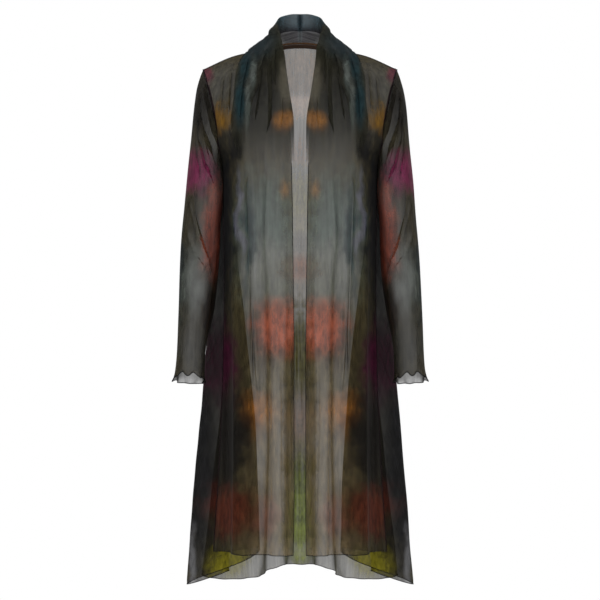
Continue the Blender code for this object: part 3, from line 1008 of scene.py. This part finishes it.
def cordAlong(cloth, edges, name, radius, material):
    takeUp(cloth)
    pickNone("EDGE")
    wanted = {tuple(sorted(edge)) for edge in edges}
    for edge in cloth.data.edges:
        edge.select = edge.key in wanted
    bpy.ops.object.mode_set(mode="EDIT")
    bpy.ops.mesh.duplicate()
    bpy.ops.mesh.separate(type="SELECTED")
    bpy.ops.object.mode_set(mode="OBJECT")
    cord = next(piece for piece in bpy.context.selected_objects if piece is not cloth)
    cord.name = name
    takeUp(cord)
    bpy.ops.object.convert(target="CURVE")
    cord.data.bevel_depth = radius
    cord.data.bevel_resolution = edgePlan["rounds"]
    bpy.ops.object.convert(target="MESH")
    cord.data.name = name
    cord.data.materials.clear()
    cord.data.materials.append(material)
    bpy.ops.object.shade_smooth()
    return cord


order = list(cloths)
trims = {name: [] for name in cloths}
for name, cloth in cloths.items():
    slot = clothPieces[name]["slot"]
    loose, sewn, bound = [], [], []
    for edge in borders[name]["edges"]:
        joins = [borders[name]["sewn"][k] for k in edge]
        height = cloth.data.vertices[edge[0]].co.z
        if slot == "collar" and height < edgePlan["collarHigh"]:
            continue  # the lapel's edge is lost among its gathers
        if None in joins:
            loose.append(edge)
        elif slot == "collar" and any(join[1] == "back" for join in joins):
            bound.append(edge)
        elif order.index(joins[0][1]) > order.index(name):
            sewn.append(edge)  # one line of stitches for the two borders
    if loose:
        trims[name].append(cordAlong(cloth, loose, name + "_edge", edgePlan["edge"][slot], edgeMaterial))
    if sewn:
        trims[name].append(cordAlong(cloth, sewn, name + "_seam", edgePlan["seam"][slot], seamMaterial))
    if bound:
        trims[name].append(cordAlong(cloth, bound, name + "_binding", edgePlan["binding"], bindingMaterial))
    for cord in trims[name]:
        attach(cord, "root")
print("edges rolled and seams stitched")

tapePlan = {"rounding": 0.0003, "segments": 2, "smoothBelow": 40}
tape = mergedCopy("neck_tape", "neck_tape_strip")
rounded = tape.modifiers.new("rounded", "BEVEL")
rounded.width = tapePlan["rounding"]
rounded.segments = tapePlan["segments"]
rounded.limit_method = "ANGLE"
bpy.ops.object.modifier_apply(modifier=rounded.name)
bpy.ops.object.shade_smooth_by_angle(angle=math.radians(tapePlan["smoothBelow"]))
tape.data.materials.clear()
tape.data.materials.append(tapeMaterial)
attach(tape, "root")
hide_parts("neck_tape")
trims["back"].append(tape)
print("neck tape sewn in")

# Each sheet takes its printed mesh, hangs from the root body and stands in for the frame's part.
for name, cloth in cloths.items():
    slot = clothPieces[name]["slot"]
    cloth.data.materials.clear()
    cloth.data.materials.append(clothMaterials[slot])
    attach(cloth, "root")
    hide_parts(name)

# Matt white studio paint: even and without a gleam.
floorPlan = {"below": -1.42, "radius": 1.75, "sides": 96, "color": "#f4f3f1", "roughness": 0.8}
bpy.ops.object.select_all(action="DESELECT")
bpy.ops.mesh.primitive_circle_add(
    vertices=floorPlan["sides"],
    radius=floorPlan["radius"],
    fill_type="NGON",
    location=(0, 0, floorPlan["below"]),
)
floor = bpy.context.object
floor.name = "paleFloor"
bpy.ops.object.transform_apply(location=True, rotation=True, scale=True)
floorPaint = bpy.data.materials.new("matt white studio paint")
floorPaint.use_nodes = True
paintShader = floorPaint.node_tree.nodes["Principled BSDF"]
paintShader.inputs["Base Color"].default_value = hexColor(floorPlan["color"])
paintShader.inputs["Roughness"].default_value = floorPlan["roughness"]
floor.data.materials.append(floorPaint)

world = bpy.data.worlds.new("whiteStudio")
scene.world = world
world.use_nodes = True
world.node_tree.nodes["Background"].inputs["Color"].default_value = (1, 1, 1, 1)
world.node_tree.nodes["Background"].inputs["Strength"].default_value = 1.0

lampPlan = {
    "keyLamp": {"place": (-1.6, -2.6, 1.2), "size": 1.6, "watts": 24},
    "fillLamp": {"place": (2.0, -2.2, 0.6), "size": 1.8, "watts": 12},
    "backLamp": {"place": (0.4, 2.6, 1.2), "size": 1.6, "watts": 9},
}
lampAim = Vector((0, 0, -0.5))
for name, lamp in lampPlan.items():
    bpy.ops.object.light_add(type="AREA", location=lamp["place"])
    light = bpy.context.object
    light.name = name
    light.data.size = lamp["size"]
    light.data.energy = lamp["watts"]
    light.rotation_euler = (lampAim - Vector(lamp["place"])).to_track_quat("-Z", "Y").to_euler()
print("stage and lamps set")
